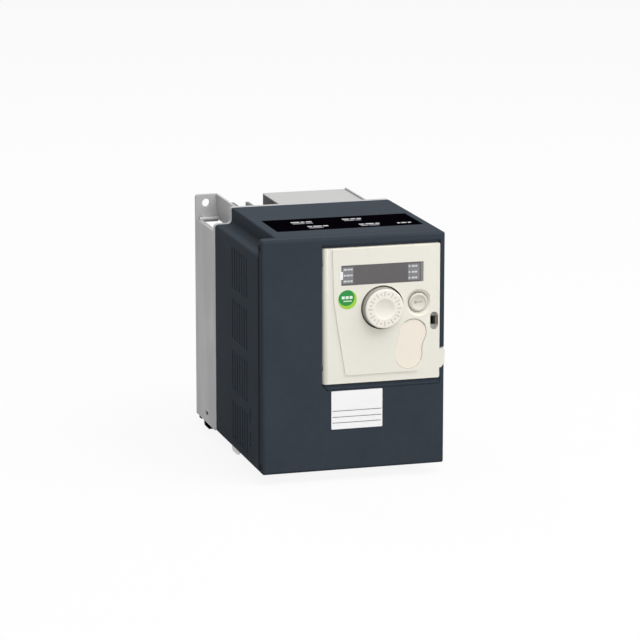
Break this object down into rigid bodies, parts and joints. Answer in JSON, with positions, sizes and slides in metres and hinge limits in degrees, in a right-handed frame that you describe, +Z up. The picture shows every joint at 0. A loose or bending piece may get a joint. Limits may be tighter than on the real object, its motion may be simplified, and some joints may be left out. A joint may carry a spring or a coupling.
{
  "type": "variable frequency drive",
  "caption": "Compact wall-mounted motor drive with finned heatsink, louvred housing, hinged front cover and a keypad behind its own door.",
  "frame": {"origin": "on the wall plane, midway between the two fixing holes", "axes": "+Y into the wall, so the front faces -Y; +X to the right seen from the front; +Z up"},
  "size_m": [0.107, 0.1579, 0.14],
  "materials": {
    "cast_aluminium": "as-cast satin",
    "can_metal": "pale grey satin",
    "navy_plastic": "fine moulded texture",
    "beige_plastic": "fine moulded texture",
    "insert_plastic": "satin",
    "dial_plastic": "satin",
    "black_plastic": "satin",
    "grey_plastic": "satin",
    "strip_film": "gloss film",
    "window": "smoked",
    "display": "smooth",
    "label": "printed film",
    "green_label": "printed film",
    "circuit_board": "solder mask",
    "steel": "zinc plated",
    "plated_steel": "bright plated",
    "brass": "turned",
    "thermal_pad": "soft",
    "capacitor_sleeve": "shrunk sleeve",
    "copper_winding": "enamelled wire",
    "relay_plastic": "smooth",
    "terminal_green": "satin",
    "key_green": "satin",
    "key_red": "satin"
  },
  "bodies": {
    "drive": {"heatsink": "cast_aluminium", "filter_can": "can_metal", "fan_frame": "black_plastic", "housing": "navy_plastic", "housing_screws": "steel", "vent_strip": "strip_film", "earth_tab": "plated_steel", "earth_screw": "steel", "thermal_pad": "thermal_pad", "power_module": "black_plastic", "power_board": "circuit_board", "board_standoffs": "brass", "board_screws": "steel", "bus_capacitors": "capacitor_sleeve", "filter_choke": "copper_winding", "supply_transformer": "black_plastic", "relays": "relay_plastic", "current_sensors": "black_plastic", "power_terminals": "grey_plastic", "power_terminal_screws": "steel", "riser_board": "circuit_board", "control_board": "circuit_board", "control_standoffs": "brass", "control_screws": "steel", "control_terminals": "terminal_green", "control_terminal_screws": "steel", "comm_socket": "black_plastic", "inner_chassis": "grey_plastic", "chassis_screws": "steel", "keypad_bezel": "beige_plastic", "keypad_board": "circuit_board", "keypad_screws": "steel", "keypad_header": "black_plastic", "display_module": "display", "encoder_body": "plated_steel", "tact_switches": "black_plastic"},
    "cover": {"front_cover": "navy_plastic", "cover_pins": "steel", "rating_plate": "label"},
    "door": {"keypad_door": "beige_plastic", "door_pins": "steel", "display_window": "window", "key_blank": "insert_plastic", "round_sticker": "green_label"},
    "encoder_turn": {"encoder_rotor": "insert_plastic"},
    "dial": {"jog_dial": "dial_plastic", "dial_shaft": "plated_steel"},
    "escape": {"escape_key": "dial_plastic"},
    "run": {"run_key": "key_green"},
    "stop": {"stop_key": "key_red"},
    "mode": {"mode_key": "grey_plastic"},
    "fan": {"fan_rotor": "black_plastic"}
  },
  "joints": [
    {"name": "cover_hinge", "type": "hinge", "parent": "drive", "child": "cover", "pos_m": [-0.0505, -0.1478, 0], "axis": [0, 0, -1], "range_deg": [0, 100]},
    {"name": "door_hinge", "type": "hinge", "parent": "drive", "child": "door", "pos_m": [-0.0152, -0.1494, 0.0206], "axis": [0, 0, -1], "range_deg": [0, 80]},
    {"name": "dial_turn", "type": "hinge", "parent": "drive", "child": "encoder_turn", "pos_m": [0.0162, -0.1402, 0.02465], "axis": [0, 1, 0], "continuous": true},
    {"name": "dial_press", "type": "slide", "parent": "encoder_turn", "child": "dial", "axis": [0, 1, 0], "range_m": [0, 0.0006], "stiffness_N_per_m": 2500},
    {"name": "escape_press", "type": "slide", "parent": "drive", "child": "escape", "axis": [0, 1, 0], "range_m": [0, 0.0006], "stiffness_N_per_m": 2500},
    {"name": "run_press", "type": "slide", "parent": "drive", "child": "run", "axis": [0, 1, 0], "range_m": [0, 0.0006], "stiffness_N_per_m": 2500},
    {"name": "stop_press", "type": "slide", "parent": "drive", "child": "stop", "axis": [0, 1, 0], "range_m": [0, 0.0006], "stiffness_N_per_m": 2500},
    {"name": "mode_press", "type": "slide", "parent": "drive", "child": "mode", "axis": [0, 1, 0], "range_m": [0, 0.0006], "stiffness_N_per_m": 2500},
    {"name": "fan_spin", "type": "hinge", "parent": "drive", "child": "fan", "pos_m": [-0.0324, -0.0254, -0.06], "axis": [0, 0, 1], "continuous": true}
  ]
}
